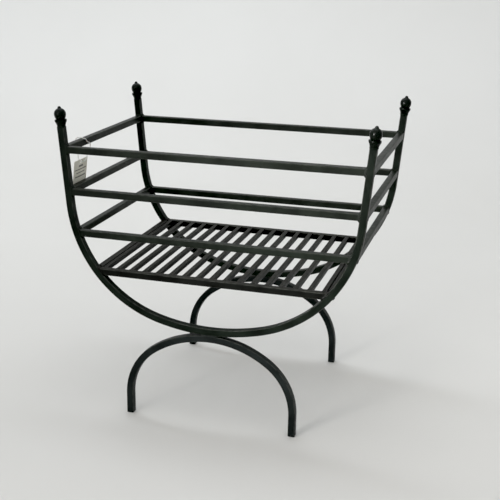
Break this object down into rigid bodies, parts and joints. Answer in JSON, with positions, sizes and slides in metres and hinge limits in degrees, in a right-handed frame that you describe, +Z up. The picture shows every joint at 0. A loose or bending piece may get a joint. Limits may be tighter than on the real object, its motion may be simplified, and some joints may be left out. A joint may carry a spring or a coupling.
{
  "type": "firewood log rack",
  "caption": "Open black steel log rack: U-shaped front and rear hoops on arched legs, joined by rails, with a slatted grate floor and ball finials.",
  "frame": {"origin": "on the floor, under the middle of the rack: the centre of the bottom face of the bounding box", "axes": "+X to the right along the front hoop, +Y from the front hoop to the rear hoop, +Z up"},
  "size_m": [0.565, 0.3608, 0.5566],
  "materials": {
    "hoop_paint": "satin black paint on square steel bar",
    "leg_paint": "satin black paint on square steel bar",
    "rail_paint": "satin black paint on square steel bar",
    "grate_paint": "satin black paint on square steel bar",
    "finial_paint": "satin black paint on a turned or cast finial",
    "tag_card": "matt off-white card, blank",
    "tag_loop": "pale translucent nylon"
  },
  "bodies": {
    "rack": {"front_hoop": "hoop_paint", "rear_hoop": "hoop_paint", "front_leg_arch": "leg_paint", "rear_leg_arch": "leg_paint", "finial_front_left": "finial_paint", "finial_front_right": "finial_paint", "finial_rear_left": "finial_paint", "finial_rear_right": "finial_paint", "front_top_rail": "rail_paint", "rear_top_rail": "rail_paint", "left_top_rail": "rail_paint", "right_top_rail": "rail_paint", "front_middle_rail": "rail_paint", "rear_middle_rail": "rail_paint", "left_middle_rail": "rail_paint", "right_middle_rail": "rail_paint", "front_lower_rail": "rail_paint", "rear_lower_rail": "rail_paint", "left_lower_rail": "rail_paint", "right_lower_rail": "rail_paint", "grate_front_rail": "grate_paint", "grate_rear_rail": "grate_paint", "grate_left_rail": "grate_paint", "grate_right_rail": "grate_paint", "grate_bar_01": "grate_paint", "grate_bar_02": "grate_paint", "grate_bar_03": "grate_paint", "grate_bar_04": "grate_paint", "grate_bar_05": "grate_paint", "grate_bar_06": "grate_paint", "grate_bar_07": "grate_paint", "grate_bar_08": "grate_paint", "grate_bar_09": "grate_paint", "grate_bar_10": "grate_paint", "grate_bar_11": "grate_paint", "grate_bar_12": "grate_paint", "grate_bar_13": "grate_paint", "grate_bar_14": "grate_paint", "grate_bar_15": "grate_paint", "grate_bar_16": "grate_paint", "grate_bar_17": "grate_paint", "tag_loop": "tag_loop"},
    "swing_tag": {"tag_card": "tag_card"}
  },
  "joints": [
    {"name": "tag_swing", "type": "hinge", "parent": "rack", "child": "swing_tag", "pos_m": [-0.2633, -0.1137, 0.4493], "axis": [0, 1, 0], "range_deg": [0, 30]}
  ]
}
